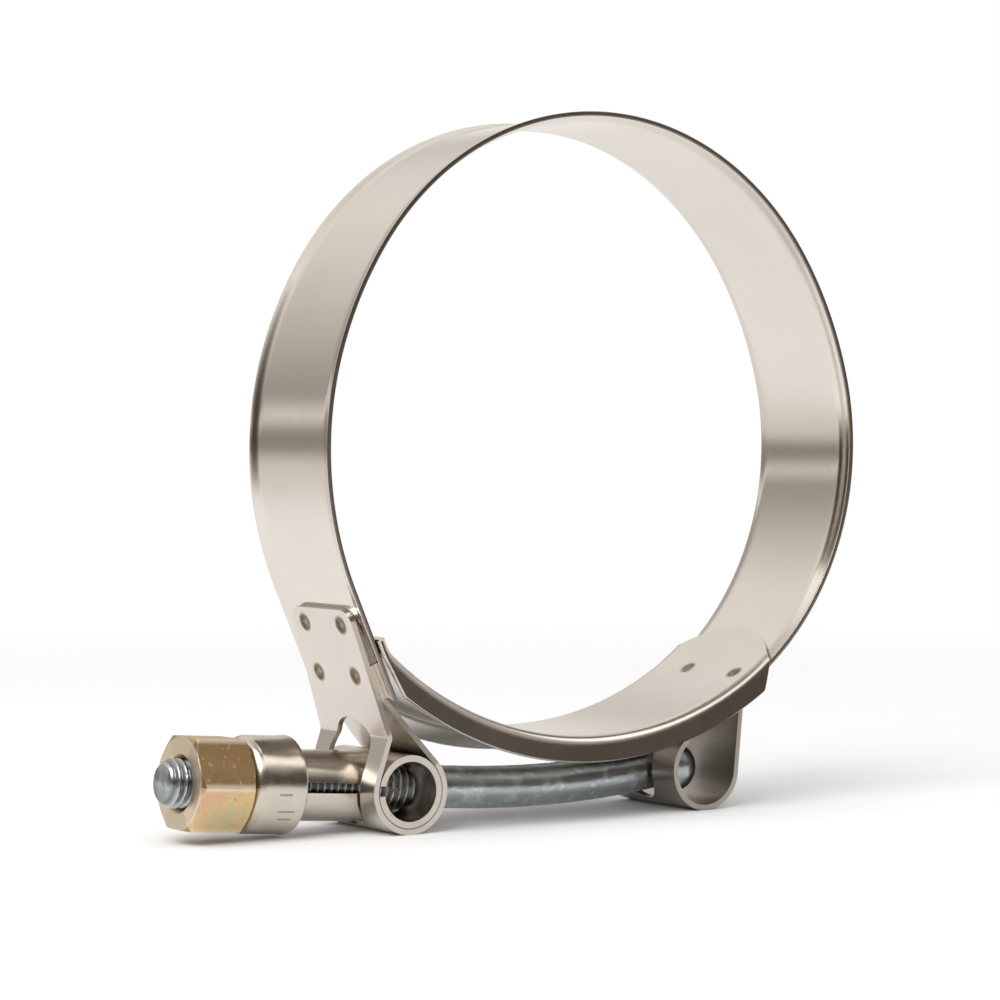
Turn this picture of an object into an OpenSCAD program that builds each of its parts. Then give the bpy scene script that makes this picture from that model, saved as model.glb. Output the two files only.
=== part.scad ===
/* [Band] */
// Radius of the hose that the open clamp takes
hose_r = 38.7; // [37.5:0.1:40.5]
// Half angle of the top arc that bears on the hose
top_half_angle = 56; // [55:0.5:60]
// Width of the band over its rolled edges
band_w = 19; // [18:0.25:24]
// Thickness of the band
band_t = 0.6; // [0.5:0.05:0.8]
// Width of each rolled edge
roll_w = 1.8; // [1.2:0.1:2]
// Height by which a rolled edge turns outward
roll_h = 0.5; // [0.3:0.05:0.7]
// Radius by which the right side of the open band is wider than the hose
right_side_ease = 9.3; // [7:0.1:15]
// Angle at which the right side gives way to the lower bend
right_side_end = 13.5; // [10:0.5:18]
// Radius by which the lower right bend is tighter than the hose
right_bend_tuck = 2.7; // [1.2:0.1:4.2]
// Angle at which the lower right bend runs into the curve of the bridge
right_bend_end = -59.2; // [-61:0.1:-57]
// Angle along the bridge at which the right end of the band stops
right_tail_end = -63.4; // [-68:0.1:-62.5]
// Radius by which the left side of the open band is wider than the hose
left_side_ease = 8.3; // [6:0.1:13]
// Angle at which the left side gives way to the lower bend
left_side_end = 162.5; // [158:0.5:168]
// Radius by which the lower left bend is wider than the hose
left_bend_ease = 3; // [0.5:0.1:5]
// Angle at which the lower left bend runs out straight
left_bend_end = 203.5; // [201:0.5:206]
// Length of the straight left end of the band
tail_len = 14.5; // [13:0.1:16]

/* [Bridge] */
// Angle through which the crease turns the curve of the bridge into its lead-in
lead_in_turn = 25.85; // [22:0.05:30]
// Thickness of the bridge
bridge_t = 0.7; // [0.5:0.05:0.8]
// Depth of the side flanges, from the inner face of the bridge
flange_h = 3.4; // [2.6:0.1:4]
// Outer radius of the bend between bridge and flange
flange_bend_r = 1.2; // [0.9:0.1:1.5]
// Clearance between the edge of the band and each flange
edge_gap = 0.25; // [0.15:0.05:0.5]
// Clearance between strips that lie flat on each other
seat_gap = 0.05; // [0.02:0.01:0.1]
// Angle round the lower right bend at which the flanges stop
flange_end = -51; // [-53:0.5:-49]
// Slant of the right end of each flange
flange_slant = 50; // [20:1:55]
// Length of the rounded tongue past the flanges
tongue_len = 4.4; // [3:0.1:5.5]
// Length of the straight lead-in along the left end of the band
lead_in_len = 2; // [1.5:0.1:5]
// Depth of the flanges along the lead-in
lead_in_h = 1.9; // [1.8:0.1:2.6]
// Inner radius of the crease between the curve of the bridge and its lead-in
crease_r = 4; // [3:0.25:6]
// Distance between the spot welds of the bridge
bridge_weld_pitch = 10; // [6:0.1:12]
// Distance of those welds from the middle of the bridge
bridge_weld_shift = -2.2; // [-3:0.1:3]
// Distance of those welds back from the end of the flanges
bridge_weld_back = 4.4; // [1:0.1:5]

/* [Strap loops] */
// Thickness of the strap that forms a loop
strap_t = 0.7; // [0.5:0.05:0.9]
// Width of the strap where it is welded to the band
strap_w = 14; // [12:0.25:14.5]
// Width of the strap round its loop
loop_w = 16; // [14.5:0.25:18]
// Radius of the outer face of the crease in a strap
strap_bend_r = 1.5; // [1.2:0.1:2]
// Radius of the corners at the top of a strap
strap_corner_r = 2; // [1:0.25:3]
// Distance from the start of the straight left end to the top of the strap
strap_top_gap = 2.5; // [1.5:0.25:3.5]
// Angle by which the left strap stands off the band
strap_wedge = 5.5; // [4.5:0.25:6.5]
// Height of the crease in the left strap above the axis of its loop
crease_rise = 6.75; // [6:0.05:8]
// Length by which the inner leg of the left strap lies on the band
left_tab_len = 4.5; // [3:0.5:6]
// Distance of the left loop outward from the line of the band
loop_shift = 1.9; // [1.6:0.05:2.4]
// Length of the inner leg of the right strap, from the band to its loop
right_leg_len = 14.8; // [14:0.1:15.8]
// Angle round the lower right bend at which that leg leaves the band
right_leg_angle = -53; // [-55:0.5:-51]
// Angle round the lower right bend at which the outer leg is creased
right_crease_angle = -60; // [-62:0.5:-58]
// Distance by which that crease stands off the inner leg
right_crease_off = 0.6; // [0.4:0.05:1]
// Angle round the lower right bend at which the right strap ends
right_strap_top = -38; // [-42:1:-34]
// Clearance of a loop round what it carries
loop_gap = 0.1; // [0.05:0.01:0.2]
// Radius of the slots through which the bolt passes
bolt_slot_r = 3.3; // [3.2:0.05:3.6]
// Width of a spot weld
weld_d = 2.2; // [1.6:0.1:2.8]
// Depth of a spot weld
weld_depth = 0.2; // [0.1:0.05:0.3]
// Distance of the spot welds from the middle of the strap
weld_half_pitch = 4.3; // [3.5:0.1:5]
// Distance of the upper spot welds from the top of the strap
weld_top = 2; // [1.5:0.1:3]
// Distance between the two rows of spot welds
weld_rows = 6.6; // [5.5:0.1:7.5]

/* [Trunnion] */
// Outside diameter of the cross tube
tube_d = 9; // [8.8:0.1:9.6]
// Wall of the sheet that the trunnion is rolled from
tube_t = 0.8; // [0.6:0.05:0.9]
// Outside diameter of the sleeve round the bolt
sleeve_d = 8.8; // [8.4:0.1:9]
// Distance from the cross tube's axis to the free end of the sleeve
sleeve_len = 19.2; // [16:0.2:24]
// Height of the open seam between the two halves of the sleeve
seam_h = 1.25; // [0.8:0.05:1.6]
// Clearance between the sleeve and the window in its strap
window_gap = 0.3; // [0.2:0.05:0.4]
// Distance from the crease up to the top of the window
window_rise = 2.2; // [1.5:0.1:3]

/* [Collar and nut] */
// Outside diameter of the collar
collar_d = 12.2; // [11.6:0.1:13]
// Length of the collar
collar_len = 6.9; // [5:0.1:9]
// Thickness of the collar's floor
collar_floor = 1; // [0.6:0.1:1.6]
// Wall of the collar
collar_wall = 1.2; // [0.8:0.1:1.4]
// Height of the step round the collar
collar_step = 0.1; // [0.05:0.05:0.4]
// Radius of the collar's shoulder
collar_round = 1.3; // [0.8:0.1:1.6]
// Width of the nut across its flats
nut_af = 11.1; // [10:0.1:12]
// Length of the nut
nut_len = 7.6; // [5:0.1:10]
// Clearance of the nut round the thread
thread_gap = 0.05; // [0.03:0.01:0.1]

/* [Bolt] */
// Diameter over the thread
thread_d = 6; // [5.8:0.05:6.2]
// Diameter of the plain shank
shank_d = 5.4; // [5:0.05:5.6]
// Length of thread that stands past the nut
thread_out = 2.2; // [1:0.1:4]
// Distance from the cross tube's axis to the end of the thread
thread_run = 6.6; // [5.5:0.1:8]
// Length of the neck between thread and shank
neck_len = 1.9; // [1:0.1:3]
// Diameter of that neck
neck_d = 5.1; // [4.8:0.05:5.2]
// Distance from the cross tube's axis to the start of the bend
straight_len = 13.2; // [12:0.2:15]
// Slope of the threaded end
bolt_tilt = 4.2; // [3:0.1:5]
// Diameter of the cross head
head_d = 6; // [5.6:0.1:7]
// Length of the cross head
head_len = 10.6; // [9:0.1:13]
// Length of the domed part at each end of the cross head
head_dome = 1.6; // [1:0.1:2.2]

/* [Hidden] */
$fn = 72;
// Length by which a cut runs past the face that it opens
cut = 1;
// Length by which one stretch of a piece runs into the next
lap = 0.3;
// Depth by which the stretch that runs in lies below the faces of the other
let_in = 0.02;
// Width of the chamfer at the corners of the nut and at the end of the bolt
chamfer = 0.8;
// Slope of the chamfer at the corners of the nut
nut_chamfer_angle = 30;

// Unit vector in the plane of the ring, X to the right and Z up
function dir(a) = [cos(a), sin(a)];

// Direction in which a vector points
function heading(v) = atan2(v[1], v[0]);

// Radii of the sides and lower bends of the band, which follow the hose
right_side_r = hose_r + right_side_ease;
right_bend_r = hose_r - right_bend_tuck;
left_side_r = hose_r + left_side_ease;
left_bend_r = hose_r + left_bend_ease;

// Centres of the arcs of the band, each tangent to the one before it
right_side_c = (hose_r - right_side_r) * dir(90 - top_half_angle);
right_bend_c = right_side_c + (right_side_r - right_bend_r) * dir(right_side_end);
left_side_c = (hose_r - left_side_r) * dir(90 + top_half_angle);
left_bend_c = left_side_c + (left_side_r - left_bend_r) * dir(left_side_end);

// Straight left end of the band, with its heading and its outward normal
tail_heading = left_bend_end + 90;
tail_out = dir(left_bend_end);
tail_start = left_bend_c + left_bend_r * tail_out;
tail_end = tail_start + tail_len * dir(tail_heading) + band_t * tail_out;

// Radius of the bridge, whose curve runs from the lower right bend to the crease without a step
bridge_wall = bridge_t + seat_gap;
bridge_lean = cos(right_bend_end - left_bend_end);
bridge_reach = (tail_start - right_bend_c) * tail_out - bridge_wall + (bridge_wall - right_bend_r) * bridge_lean;
bridge_r = (bridge_reach - crease_r * (1 - cos(lead_in_turn))) / (cos(lead_in_turn) - bridge_lean);

// Bridge, tangent to the lower right bend where the two curves meet
bridge_band_r = bridge_r + bridge_wall;
bridge_c = right_bend_c + (right_bend_r - bridge_band_r) * dir(right_bend_end);
tongue_r = right_bend_r - bridge_wall;
flange_in = band_w / 2 + edge_gap;
flange_out = flange_in + bridge_t;

// Crease of the bridge, and the lead-in that lies along the inside of the straight left end
crease_angle = left_bend_end + lead_in_turn;
crease_c = bridge_c + (bridge_r - crease_r) * dir(crease_angle);
lead_in_start = crease_c + crease_r * tail_out;

// Inner and outer radius of a strap loop
loop_in_r = tube_d / 2 + loop_gap;
loop_out_r = loop_in_r + strap_t;

// Right loop, whose inner leg leaves the band on a tangent
right_leg_heading = right_leg_angle - 90;
right_strap_r = right_bend_r + band_t + seat_gap;
right_leg_start = right_bend_c + right_strap_r * dir(right_leg_angle);
right_loop_c = right_leg_start + loop_out_r * dir(right_leg_angle) + right_leg_len * dir(right_leg_heading);

// Left loop, at the height of the right one so that the clamp stands level
left_loop_top = tail_end + loop_shift * tail_out;
left_loop_drop = (right_loop_c[1] - left_loop_top[1]) / sin(tail_heading);
left_loop_c = left_loop_top + left_loop_drop * dir(tail_heading);

// Outer leg of the left strap down to its crease, and from there to the loop
left_leg_heading = tail_heading - strap_wedge;
left_leg_start = tail_start + strap_top_gap * dir(tail_heading) + band_t * tail_out;
left_leg_len = (left_loop_c[1] + crease_rise - left_leg_start[1]) / sin(left_leg_heading);
left_crease = left_leg_start + left_leg_len * dir(left_leg_heading);
crease_to_loop = left_loop_c - left_crease;
left_arm_heading = heading(crease_to_loop) - asin(loop_in_r / norm(crease_to_loop));
left_setback = strap_bend_r * tan((left_leg_heading - 360 - left_arm_heading) / 2);
left_arm_start = left_crease + left_setback * dir(left_arm_heading);
left_arm_len = sqrt(norm(crease_to_loop)^2 - loop_in_r^2) - left_setback;
left_bend_at = left_arm_start + strap_bend_r * dir(left_arm_heading - 90);
left_flat_len = left_leg_len - left_setback;

// Inner leg of the left strap, from the end of the band to the loop
tail_to_loop = left_loop_c - tail_end;
left_inner_heading = heading(tail_to_loop) + asin(loop_out_r / norm(tail_to_loop));
left_inner_len = sqrt(norm(tail_to_loop)^2 - loop_out_r^2);

// Outer leg of the right strap, from its crease up to the band and down to the loop
right_outer_r = right_strap_r + strap_t;
right_crease = right_bend_c + (right_outer_r + right_crease_off) * dir(right_crease_angle);
crease_to_bend = right_bend_c - right_crease;
right_outer_heading = heading(crease_to_bend) - asin(right_outer_r / norm(crease_to_bend));
right_crease_to_loop = right_loop_c - right_crease;
right_wall_heading = heading(right_crease_to_loop) + asin(loop_in_r / norm(right_crease_to_loop));
right_setback = strap_bend_r * tan((right_wall_heading + 180 - right_outer_heading) / 2);
right_outer_start = right_crease + right_setback * dir(right_outer_heading);
right_outer_len = sqrt(norm(crease_to_bend)^2 - right_outer_r^2) - right_setback;
right_wall_start = right_crease + right_setback * dir(right_wall_heading);
right_wall_len = sqrt(norm(right_crease_to_loop)^2 - loop_in_r^2) - right_setback;
right_bend_at = right_wall_start + strap_bend_r * dir(right_wall_heading + 90);

// Window in the left strap through which the sleeve passes
window_r = sleeve_d / 2 + window_gap;
window_top = left_crease[1] - left_loop_c[1] + window_rise - window_r;

// Bolt, straight through the trunnion and then bent to its cross head
head_c = right_loop_c - [loop_in_r - loop_gap - head_d / 2, 0];
bend_start = left_loop_c + straight_len * dir(-bolt_tilt);
bend_chord = head_c - bend_start;
bend_half_sweep = heading(bend_chord) + bolt_tilt;
bend_r = norm(bend_chord) / (2 * sin(bend_half_sweep));
bend_c = bend_start + bend_r * dir(90 - bolt_tilt);

// Stack of pieces along the bolt, measured from the cross tube's axis
collar_back = sleeve_len + seat_gap + collar_floor;
nut_face = collar_back + seat_gap;
bolt_end = nut_face + nut_len + thread_out;

// Place at a point of the ring's plane, turned to a heading, with local Y kept across the band
module at(point, a = 0) {
  translate([point[0], 0, point[1]]) rotate([0, -a, 0]) children();
}

// Turn a section about an axis across the band, from one angle to another
module sweep(centre, from, to) {
  at(centre) rotate([90, 0, 0]) rotate([0, 0, from]) rotate_extrude(angle = to - from) children();
}

// Curved piece of plain strip between two radii
module strip_arc(centre, r_in, t, w, from, to) {
  sweep(centre, from, to) translate([r_in, -w / 2]) square([t, w]);
}

// Straight piece of plain strip, its thickness on the left of its heading or, if negative, on the right,
// let into the pieces before and after it by a lap
module strip_line(start, a, len, t, w_start, w_end, lap_start = 0, lap_end = 0) {
  half_start = w_start / 2 - let_in;
  half_end = w_end / 2 - let_in;
  at(start, a) translate([0, 0, min(t, 0) + let_in]) linear_extrude(abs(t) - 2 * let_in)
    polygon([
      [-lap_start, -half_start], [0, -half_start], [len, -half_end], [len + lap_end, -half_end],
      [len + lap_end, half_end], [len, half_end], [0, half_start], [-lap_start, half_start]
    ]);
}

// Cylinder across the band
module cross_cylinder(r, len) {
  rotate([90, 0, 0]) cylinder(r = r, h = len, center = true);
}

// Cylinder along the local X axis
module axial_cylinder(r, from, to) {
  translate([from, 0, 0]) rotate([0, 90, 0]) cylinder(r = r, h = to - from);
}

// Place on the axis of the threaded end, local X towards the head
module on_bolt() {
  at(left_loop_c, -bolt_tilt) children();
}

// Section of the band with its rolled edges, at a distance from the axis of a bend
module band_section(r, below = 0) {
  flat = band_w / 2 - roll_w;
  edge = band_w / 2 - below;
  near = r + below;
  far = r + band_t - below;
  polygon([
    [near, -flat], [near + roll_h, -edge], [far + roll_h, -edge], [far, -flat],
    [far, flat], [far + roll_h, edge], [near + roll_h, edge], [near, flat]
  ]);
}

// Curved stretch of the band
module band_arc(centre, r, from, to) {
  sweep(centre, from, to) band_section(r);
}

// Curved stretch of the band that is let into the stretches at both of its ends
module band_link(centre, r, from, to) {
  lap_angle = lap / r * 180 / PI;
  sweep(centre, from - lap_angle, to + lap_angle) band_section(r, let_in);
}

// Open strip that bears on the hose, with a straight left end and a right end under the bridge
module band() {
  color("silver") {
    band_arc([0, 0], hose_r, 90 - top_half_angle, 90 + top_half_angle);
    band_link(right_side_c, right_side_r, right_side_end, 90 - top_half_angle);
    band_arc(right_bend_c, right_bend_r, right_bend_end, right_side_end);
    band_link(bridge_c, bridge_band_r, right_tail_end, right_bend_end);
    band_link(left_side_c, left_side_r, 90 + top_half_angle, left_side_end);
    band_arc(left_bend_c, left_bend_r, left_side_end, left_bend_end);
    at(tail_start, tail_heading) translate([-lap, 0, 0])
      rotate([0, 90, 0]) linear_extrude(tail_len + lap) band_section(0, let_in);
  }
}

// Half of the channel section of the bridge: plate, bend and flange
module bridge_half_section(r, h, below) {
  bend_at = [r + flange_bend_r, flange_out - flange_bend_r];
  out_r = flange_bend_r - below;
  in_r = flange_bend_r - bridge_t + below;
  translate([r + below, 0]) square([bridge_t - 2 * below, bend_at[1]]);
  translate([bend_at[0], flange_in + below]) square([h - flange_bend_r - below, bridge_t - 2 * below]);
  translate(bend_at) intersection() {
    difference() {
      circle(out_r);
      circle(in_r);
    }
    translate([-flange_bend_r, 0]) square(flange_bend_r);
  }
}

// Channel section of the bridge, at a distance from the axis of a bend
module bridge_section(r, h, below = 0) {
  bridge_half_section(r, h, below);
  mirror([0, 1]) bridge_half_section(r, h, below);
}

// Curved channel inside the ring, welded to the right end and guiding the left end
module bridge() {
  lap_angle = lap / bridge_r * 180 / PI;
  tongue_lap = lap / tongue_r * 180 / PI;
  color("lightgray") difference() {
    union() {
      sweep(bridge_c, crease_angle - lap_angle, 360 + right_bend_end + lap_angle)
        bridge_section(bridge_r, flange_h, let_in);
      sweep(crease_c, left_bend_end, crease_angle) bridge_section(crease_r, flange_h);
      sweep(right_bend_c, right_bend_end, flange_end) bridge_section(tongue_r, flange_h);
      intersection() {
        strip_arc(right_bend_c, tongue_r + let_in, bridge_t - 2 * let_in, 2 * flange_out, flange_end - tongue_lap, 0);
        at(right_bend_c, flange_end) tongue_outline();
      }
      at(lead_in_start, tail_heading) translate([-lead_in_len, 0, 0])
        rotate([0, 90, 0]) linear_extrude(lead_in_len + lap) bridge_section(0, lead_in_h, let_in);
    }
    flange_end_cut();
    bridge_welds();
  }
}

// Rounded outline of the tongue, drawn square to the lower right bend where the flanges stop
module tongue_outline() {
  half = flange_out - flange_bend_r;
  r = (half^2 + tongue_len^2) / (2 * tongue_len);
  translate([0, 0, tongue_len - r]) rotate([0, 90, 0]) cylinder(r = r, h = right_bend_r);
}

// Slanted cut at the right end of both flanges
module flange_end_cut() {
  size = 2 * flange_h;
  for (side = [-1, 1])
    at(right_bend_c, flange_end)
      translate([tongue_r + flange_bend_r, side * (flange_in + bridge_t / 2), 0])
        rotate([0, flange_slant, 0])
          translate([0, -bridge_t, 0]) cube([size, 2 * bridge_t, size]);
}

// Ball that leaves the dimple of a spot weld, resting on a face square to local X
module weld_ball() {
  ball_r = (weld_d^2 / 4 + weld_depth^2) / (2 * weld_depth);
  translate([weld_depth - ball_r, 0, 0]) sphere(ball_r);
}

// Spot welds that hold the tongue to the band
module bridge_welds() {
  for (side = [-1, 1])
    at(right_bend_c, flange_end - bridge_weld_back / tongue_r * 180 / PI)
      translate([tongue_r, bridge_weld_shift + side * bridge_weld_pitch / 2, 0]) weld_ball();
}

// Left strap: folded round the cross tube, both legs welded to the band
module nut_loop() {
  color("gainsboro") difference() {
    union() {
      at(left_leg_start, left_leg_heading) translate([0, 0, let_in - strap_t])
        linear_extrude(strap_t - 2 * let_in) left_leg_outline();
      strip_arc(left_bend_at, strap_bend_r - strap_t, strap_t, loop_w, left_arm_heading + 90, left_leg_heading - 270);
      strip_line(left_arm_start, left_arm_heading, left_arm_len, -strap_t, loop_w, loop_w, lap, lap);
      strip_arc(left_loop_c, loop_in_r, strap_t, loop_w, left_arm_heading + 270, left_inner_heading + 450);
      strip_line(tail_end, left_inner_heading, left_inner_len, -strap_t, strap_w, loop_w, 0, lap);
      strip_arc(tail_end, 0, strap_t, strap_w, left_bend_end, left_inner_heading + 270);
      strip_line(tail_end, tail_heading + 180, left_tab_len, strap_t, strap_w, strap_w);
    }
    sleeve_window();
    on_bolt() axial_cylinder(bolt_slot_r, 0, loop_out_r + cut);
    left_welds();
  }
}

// Outer leg of the left strap, with rounded top corners and a slight taper to the loop
module left_leg_outline() {
  corner = strap_corner_r;
  inner = strap_w / 2 - corner;
  half = loop_w / 2 - let_in;
  end = left_flat_len + lap;
  polygon([
    [corner, -strap_w / 2], [left_flat_len, -half], [end, -half], [end, half], [left_flat_len, half],
    [corner, strap_w / 2]
  ]);
  translate([0, -inner]) square([corner, 2 * inner]);
  for (side = [-1, 1]) translate([corner, side * inner]) circle(corner);
}

// Arched opening that lets the sleeve through the left strap
module sleeve_window() {
  reach = 2 * loop_out_r;
  near = left_loop_c[0] - left_crease[0] - strap_t;
  translate([left_loop_c[0] - near - reach, 0, left_loop_c[1]]) rotate([90, 0, 90]) linear_extrude(reach) {
    circle(window_r);
    translate([-window_r, 0]) square([2 * window_r, window_top]);
    translate([0, window_top]) circle(window_r);
  }
}

// Spot welds of the left strap, two rows of two
module left_welds() {
  for (row = [0, 1], side = [-1, 1])
    at(left_leg_start, left_leg_heading)
      translate([weld_top + row * weld_rows, side * weld_half_pitch, -strap_t]) rotate([0, -90, 0]) weld_ball();
}

// Right strap: folded round the cross head of the bolt, both legs welded to the band
module bolt_loop() {
  top = right_strap_top;
  color("gainsboro") difference() {
    union() {
      strip_arc(right_bend_c, right_strap_r, 2 * strap_t, strap_w, right_outer_heading - 90, top);
      strip_arc(right_bend_c, right_strap_r, strap_t, strap_w, right_leg_angle, top);
      strip_line(right_outer_start, right_outer_heading, right_outer_len, -strap_t, loop_w, strap_w, lap, lap);
      strip_arc(right_bend_at, strap_bend_r - strap_t, strap_t, loop_w, right_outer_heading + 90, right_wall_heading + 270);
      strip_line(right_wall_start, right_wall_heading, right_wall_len, strap_t, loop_w, loop_w, lap, lap);
      strip_arc(right_loop_c, loop_in_r, strap_t, loop_w, right_leg_angle + 180, right_wall_heading + 450);
      strip_line(right_leg_start, right_leg_heading, right_leg_len, strap_t, strap_w, loop_w, lap, lap);
    }
    at(head_c) bolt_slot();
  }
}

// Upright slot that the shank passes on its way to the cross head
module bolt_slot() {
  reach = 2 * loop_out_r;
  half_h = bolt_slot_r / 4;
  translate([-reach, 0, 0]) rotate([90, 0, 90]) linear_extrude(reach) {
    for (end = [-1, 1]) translate([0, end * half_h]) circle(bolt_slot_r);
    translate([-bolt_slot_r, -half_h]) square([2 * bolt_slot_r, 2 * half_h]);
  }
}

// Cross tube and sleeve rolled from one sheet, whose two lips run out along the bolt as half pipes
module trunnion() {
  color("tan") on_bolt() difference() {
    union() {
      cross_cylinder(tube_d / 2, loop_w);
      axial_cylinder(sleeve_d / 2, -sleeve_len, 0);
    }
    cross_cylinder(tube_d / 2 - tube_t, loop_w + 2 * cut);
    axial_cylinder(sleeve_d / 2 - tube_t, -sleeve_len - cut, 0);
    axial_cylinder(bolt_slot_r, 0, tube_d / 2 + cut);
    translate([-sleeve_len - cut, -loop_w / 2 - cut, -seam_h / 2])
      cube([sleeve_len + cut, loop_w + 2 * cut, seam_h]);
  }
}

// Drawn cup that takes the push of the nut and passes it to the sleeve
module collar() {
  outer = collar_d / 2;
  body = outer - collar_step;
  color("silver") on_bolt() translate([-collar_back, 0, 0]) rotate([0, 90, 0]) difference() {
    rotate_extrude() {
      translate([0, collar_round]) square([body, collar_len - collar_round]);
      square([body - collar_round, collar_len]);
      translate([body - collar_round, collar_round]) circle(collar_round);
      translate([0, collar_len / 2]) square([outer, collar_len / 2]);
    }
    translate([0, 0, -cut]) cylinder(r = bolt_slot_r, h = collar_floor + 2 * cut);
    translate([0, 0, collar_floor]) cylinder(r = outer - collar_wall, h = collar_len);
  }
}

// Hexagon nut with a corner towards the front, chamfered at both ends
module nut() {
  corner_r = nut_af / 2 / cos(30);
  bevel_r = nut_af / 2;
  bevel_h = (corner_r - bevel_r) * tan(nut_chamfer_angle);
  bore_r = thread_d / 2 + thread_gap;
  color("darkkhaki") on_bolt() translate([-nut_face - nut_len, 0, 0]) rotate([0, 90, 0]) difference() {
    intersection() {
      rotate([0, 0, 90]) cylinder(r = corner_r, h = nut_len, $fn = 6);
      rotate_extrude() polygon([
        [0, 0], [bevel_r, 0], [corner_r, bevel_h], [corner_r, nut_len - bevel_h], [bevel_r, nut_len], [0, nut_len]
      ]);
    }
    translate([0, 0, -cut]) cylinder(r = bore_r, h = nut_len + 2 * cut);
    cylinder(r1 = bore_r + chamfer, r2 = bore_r, h = chamfer);
  }
}

// Bolt forged with a cross head: thread, plain shank, bend and domed cross bar
module t_bolt() {
  end_r = thread_d / 2 - chamfer;
  color("lightslategray") {
    on_bolt() {
      axial_cylinder(thread_d / 2, -bolt_end + chamfer, thread_run);
      axial_cylinder(neck_d / 2, thread_run - lap, thread_run + neck_len + lap);
      axial_cylinder(shank_d / 2 - let_in, thread_run + neck_len, straight_len + lap);
      translate([-bolt_end, 0, 0]) rotate([0, 90, 0]) cylinder(r1 = end_r, r2 = thread_d / 2, h = chamfer);
    }
    sweep(bend_c, -90 - bolt_tilt, -90 - bolt_tilt + 2 * bend_half_sweep) translate([bend_r, 0]) circle(shank_d / 2);
    at(head_c) cross_head();
  }
}

// Cross bar of the bolt, a cylinder with a spherical dome at each end
module cross_head() {
  dome_r = (head_d^2 / 4 + head_dome^2) / (2 * head_dome);
  straight = head_len - 2 * head_dome;
  rotate([90, 0, 0]) rotate_extrude() intersection() {
    translate([0, -head_len / 2]) square([head_d / 2, head_len]);
    union() {
      for (end = [-1, 1]) translate([0, end * (head_len / 2 - dome_r)]) circle(dome_r);
      translate([0, -straight / 2]) square([head_d / 2, straight]);
    }
  }
}

band();
bridge();
nut_loop();
bolt_loop();
trunnion();
collar();
nut();
t_bolt();
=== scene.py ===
import math
import bpy
import numpy as np
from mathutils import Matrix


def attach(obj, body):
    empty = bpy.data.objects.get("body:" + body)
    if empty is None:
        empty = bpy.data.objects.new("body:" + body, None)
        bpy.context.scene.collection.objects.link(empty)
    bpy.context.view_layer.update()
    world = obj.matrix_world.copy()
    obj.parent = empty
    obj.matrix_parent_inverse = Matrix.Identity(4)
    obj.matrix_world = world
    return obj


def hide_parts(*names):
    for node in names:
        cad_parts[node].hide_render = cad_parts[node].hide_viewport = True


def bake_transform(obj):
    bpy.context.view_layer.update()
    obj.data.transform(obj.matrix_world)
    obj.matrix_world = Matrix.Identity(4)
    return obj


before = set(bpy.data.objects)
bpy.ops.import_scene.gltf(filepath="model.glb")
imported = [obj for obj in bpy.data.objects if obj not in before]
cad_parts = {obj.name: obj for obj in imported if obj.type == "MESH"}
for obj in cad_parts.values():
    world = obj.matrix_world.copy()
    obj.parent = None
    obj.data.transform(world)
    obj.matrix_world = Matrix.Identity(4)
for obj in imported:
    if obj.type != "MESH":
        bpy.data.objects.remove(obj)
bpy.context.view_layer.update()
mm = 0.001
print("frame loaded:", len(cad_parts), "nodes")


def heading(deg):
    # unit vector in the plane of the ring, X to the right and Z up
    return np.array([math.cos(math.radians(deg)), math.sin(math.radians(deg))])


class Path:
    # a chain of arcs and straights in the plane of the ring, each tangent to the one before;
    # pos is the point, out the normal that points away from the ring, s the length run so far

    def __init__(self):
        self.pos, self.out, self.step = [], [], 0.25

    def arc(self, centre, radius, start, end):
        count = max(4, int(abs(end - start) * math.pi / 180 * radius / self.step))
        ang = np.radians(np.linspace(start, end, count, endpoint=False))
        ray = np.stack([np.cos(ang), np.sin(ang)], 1)
        self.pos.append(np.asarray(centre) + radius * ray)
        self.out.append(ray)
        return self

    def line(self, start, along, length, out, last=False):
        count = max(4, int(length / self.step))
        t = np.linspace(0, length, count, endpoint=last)[:, None]
        self.pos.append(np.asarray(start) + t * np.asarray(along))
        self.out.append(np.tile(np.asarray(out), (count, 1)))
        return self

    def done(self):
        pos, out = np.concatenate(self.pos), np.concatenate(self.out)
        gaps = np.linalg.norm(np.diff(pos, axis=0), axis=1)
        return pos, out, np.concatenate([[0], np.cumsum(gaps)])


def gridFaces(points, wrap=True, caps=True, flip=False, closed=False, base=0):
    # points is rows x columns x 3; each row is a closed loop when wrap is on, neighbouring rows are joined by quads;
    # the first and last loop get one face each, or with closed the last row meets the first again
    rows, cols = points.shape[:2]
    idx = base + np.arange(rows * cols).reshape(rows, cols)
    idx = np.concatenate([idx, idx[:1]]) if closed else idx
    nxt = np.roll(idx, -1, axis=1) if wrap else idx[:, 1:]
    cur = idx if wrap else idx[:, :-1]
    quads = np.stack([cur[:-1], nxt[:-1], nxt[1:], cur[1:]], -1).reshape(-1, 4)
    faces = quads[:, ::-1].tolist() if flip else quads.tolist()
    if caps and not closed:
        ends = [idx[0][::-1].tolist(), idx[-1].tolist()]
        faces += [f[::-1] for f in ends] if flip else ends
    return faces


def meshObject(name, grids, faces, attrs=None):
    # one smooth-shaded object from one or more grids in mm, with a value per point for each attribute
    mesh = bpy.data.meshes.new(name)
    points = np.concatenate([grid.reshape(-1, 3) for grid in grids])
    mesh.from_pydata((points * mm).tolist(), [], faces)
    for key, values in (attrs or {}).items():
        layer = mesh.attributes.new(key, "FLOAT", "POINT")
        layer.data.foreach_set("value", np.ascontiguousarray(values, dtype=np.float32).ravel())
    mesh.polygons.foreach_set("use_smooth", np.ones(len(mesh.polygons), dtype=bool))
    mesh.update()
    obj = bpy.data.objects.new(name, mesh)
    bpy.context.scene.collection.objects.link(obj)
    return obj


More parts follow.
